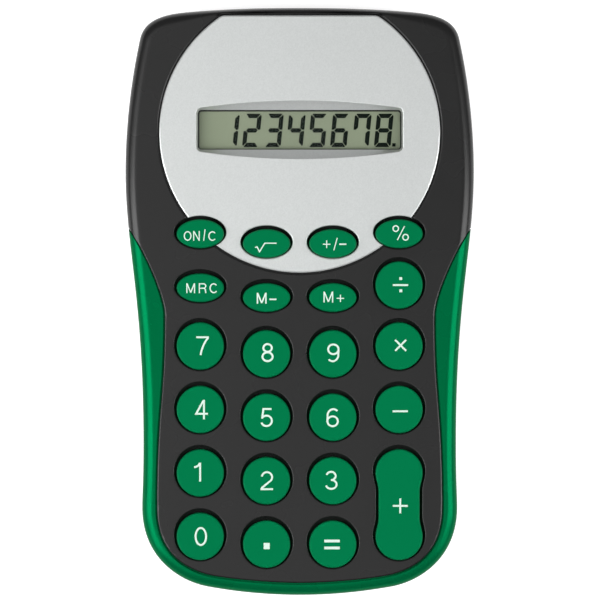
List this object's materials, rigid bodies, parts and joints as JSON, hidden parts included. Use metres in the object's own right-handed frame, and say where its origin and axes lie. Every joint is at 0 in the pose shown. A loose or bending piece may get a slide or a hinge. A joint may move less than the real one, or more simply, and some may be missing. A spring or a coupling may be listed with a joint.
{
  "type": "pocket calculator",
  "caption": "Slim hand-held calculator: waisted case with a side grip, a display well in a round face plate, round, oval and bar push keys, and a hooked battery door on the back.",
  "frame": {"origin": "middle of the outline, on the plane under the four foot pips", "axes": "+Z out of the face, +Y towards the display end, +X to the user's right; the calculator lies on its back"},
  "size_m": [0.0682, 0.115, 0.0111],
  "materials": {
    "case_black": "black ABS with a fine moulded texture",
    "grip_green": "smooth satin green ABS",
    "plate_silver": "silver-painted ABS, satin",
    "window_clear": "clear polished acrylic",
    "display_glass": "grey-green display glass under a polariser",
    "reflector_foil": "satin reflective foil",
    "frame_grey": "plain grey moulding",
    "silicone_grey": "soft silicone rubber",
    "board_green": "lacquered fibre board",
    "epoxy_black": "poured epoxy",
    "ceramic_tan": "dipped ceramic",
    "lacquer_beige": "lacquered",
    "cell_steel": "drawn stainless can",
    "contact_nickel": "nickel-plated spring strip",
    "screw_steel": "zinc-plated",
    "key_green": "smooth satin green ABS"
  },
  "bodies": {
    "calculator": {"front_case": "case_black", "rear_case": "case_black", "side_grip": "grip_green", "face_plate": "plate_silver", "case_screw_1": "screw_steel", "case_screw_2": "screw_steel", "case_screw_3": "screw_steel", "case_screw_4": "screw_steel", "case_screw_5": "screw_steel", "case_screw_6": "screw_steel", "display_window": "window_clear", "lcd_front_glass": "display_glass", "lcd_rear_glass": "display_glass", "lcd_reflector": "reflector_foil", "lcd_frame": "frame_grey", "lcd_connector_strip": "silicone_grey", "circuit_board": "board_green", "chip_cover": "epoxy_black", "capacitor": "ceramic_tan", "resistor": "lacquer_beige", "battery_cell": "cell_steel", "battery_contact_positive": "contact_nickel", "battery_contact_negative": "contact_nickel", "keypad_mat": "silicone_grey"},
    "battery_door": {"battery_door": "case_black"},
    "key_on_clear": {"key_on_clear": "key_green"},
    "key_square_root": {"key_square_root": "key_green"},
    "key_plus_minus": {"key_plus_minus": "key_green"},
    "key_percent": {"key_percent": "key_green"},
    "key_memory_recall": {"key_memory_recall": "key_green"},
    "key_memory_minus": {"key_memory_minus": "key_green"},
    "key_memory_plus": {"key_memory_plus": "key_green"},
    "key_divide": {"key_divide": "key_green"},
    "key_7": {"key_7": "key_green"},
    "key_8": {"key_8": "key_green"},
    "key_9": {"key_9": "key_green"},
    "key_multiply": {"key_multiply": "key_green"},
    "key_4": {"key_4": "key_green"},
    "key_5": {"key_5": "key_green"},
    "key_6": {"key_6": "key_green"},
    "key_minus": {"key_minus": "key_green"},
    "key_1": {"key_1": "key_green"},
    "key_2": {"key_2": "key_green"},
    "key_3": {"key_3": "key_green"},
    "key_plus": {"key_plus": "key_green"},
    "key_0": {"key_0": "key_green"},
    "key_point": {"key_point": "key_green"},
    "key_equals": {"key_equals": "key_green"}
  },
  "joints": [
    {"name": "key_on_clear_press", "type": "slide", "parent": "calculator", "child": "key_on_clear", "axis": [0, 0, -1], "range_m": [0, 0.0009], "stiffness_N_per_m": 300, "deforming": ["keypad_mat"]},
    {"name": "key_square_root_press", "type": "slide", "parent": "calculator", "child": "key_square_root", "axis": [0, 0, -1], "range_m": [0, 0.0009], "stiffness_N_per_m": 300, "deforming": ["keypad_mat"]},
    {"name": "key_plus_minus_press", "type": "slide", "parent": "calculator", "child": "key_plus_minus", "axis": [0, 0, -1], "range_m": [0, 0.0009], "stiffness_N_per_m": 300, "deforming": ["keypad_mat"]},
    {"name": "key_percent_press", "type": "slide", "parent": "calculator", "child": "key_percent", "axis": [0, 0, -1], "range_m": [0, 0.0009], "stiffness_N_per_m": 300, "deforming": ["keypad_mat"]},
    {"name": "key_memory_recall_press", "type": "slide", "parent": "calculator", "child": "key_memory_recall", "axis": [0, 0, -1], "range_m": [0, 0.0009], "stiffness_N_per_m": 300, "deforming": ["keypad_mat"]},
    {"name": "key_memory_minus_press", "type": "slide", "parent": "calculator", "child": "key_memory_minus", "axis": [0, 0, -1], "range_m": [0, 0.0009], "stiffness_N_per_m": 300, "deforming": ["keypad_mat"]},
    {"name": "key_memory_plus_press", "type": "slide", "parent": "calculator", "child": "key_memory_plus", "axis": [0, 0, -1], "range_m": [0, 0.0009], "stiffness_N_per_m": 300, "deforming": ["keypad_mat"]},
    {"name": "key_divide_press", "type": "slide", "parent": "calculator", "child": "key_divide", "axis": [0, 0, -1], "range_m": [0, 0.0009], "stiffness_N_per_m": 300, "deforming": ["keypad_mat"]},
    {"name": "key_7_press", "type": "slide", "parent": "calculator", "child": "key_7", "axis": [0, 0, -1], "range_m": [0, 0.0009], "stiffness_N_per_m": 300, "deforming": ["keypad_mat"]},
    {"name": "key_8_press", "type": "slide", "parent": "calculator", "child": "key_8", "axis": [0, 0, -1], "range_m": [0, 0.0009], "stiffness_N_per_m": 300, "deforming": ["keypad_mat"]},
    {"name": "key_9_press", "type": "slide", "parent": "calculator", "child": "key_9", "axis": [0, 0, -1], "range_m": [0, 0.0009], "stiffness_N_per_m": 300, "deforming": ["keypad_mat"]},
    {"name": "key_multiply_press", "type": "slide", "parent": "calculator", "child": "key_multiply", "axis": [0, 0, -1], "range_m": [0, 0.0009], "stiffness_N_per_m": 300, "deforming": ["keypad_mat"]},
    {"name": "key_4_press", "type": "slide", "parent": "calculator", "child": "key_4", "axis": [0, 0, -1], "range_m": [0, 0.0009], "stiffness_N_per_m": 300, "deforming": ["keypad_mat"]},
    {"name": "key_5_press", "type": "slide", "parent": "calculator", "child": "key_5", "axis": [0, 0, -1], "range_m": [0, 0.0009], "stiffness_N_per_m": 300, "deforming": ["keypad_mat"]},
    {"name": "key_6_press", "type": "slide", "parent": "calculator", "child": "key_6", "axis": [0, 0, -1], "range_m": [0, 0.0009], "stiffness_N_per_m": 300, "deforming": ["keypad_mat"]},
    {"name": "key_minus_press", "type": "slide", "parent": "calculator", "child": "key_minus", "axis": [0, 0, -1], "range_m": [0, 0.0009], "stiffness_N_per_m": 300, "deforming": ["keypad_mat"]},
    {"name": "key_1_press", "type": "slide", "parent": "calculator", "child": "key_1", "axis": [0, 0, -1], "range_m": [0, 0.0009], "stiffness_N_per_m": 300, "deforming": ["keypad_mat"]},
    {"name": "key_2_press", "type": "slide", "parent": "calculator", "child": "key_2", "axis": [0, 0, -1], "range_m": [0, 0.0009], "stiffness_N_per_m": 300, "deforming": ["keypad_mat"]},
    {"name": "key_3_press", "type": "slide", "parent": "calculator", "child": "key_3", "axis": [0, 0, -1], "range_m": [0, 0.0009], "stiffness_N_per_m": 300, "deforming": ["keypad_mat"]},
    {"name": "key_plus_press", "type": "slide", "parent": "calculator", "child": "key_plus", "axis": [0, 0, -1], "range_m": [0, 0.0009], "stiffness_N_per_m": 300, "deforming": ["keypad_mat"]},
    {"name": "key_0_press", "type": "slide", "parent": "calculator", "child": "key_0", "axis": [0, 0, -1], "range_m": [0, 0.0009], "stiffness_N_per_m": 300, "deforming": ["keypad_mat"]},
    {"name": "key_point_press", "type": "slide", "parent": "calculator", "child": "key_point", "axis": [0, 0, -1], "range_m": [0, 0.0009], "stiffness_N_per_m": 300, "deforming": ["keypad_mat"]},
    {"name": "key_equals_press", "type": "slide", "parent": "calculator", "child": "key_equals", "axis": [0, 0, -1], "range_m": [0, 0.0009], "stiffness_N_per_m": 300, "deforming": ["keypad_mat"]},
    {"name": "battery_door_hinge", "type": "hinge", "parent": "calculator", "child": "battery_door", "pos_m": [0, 0.0344, 0.0005], "axis": [-1, 0, 0], "range_deg": [0, 75]}
  ]
}
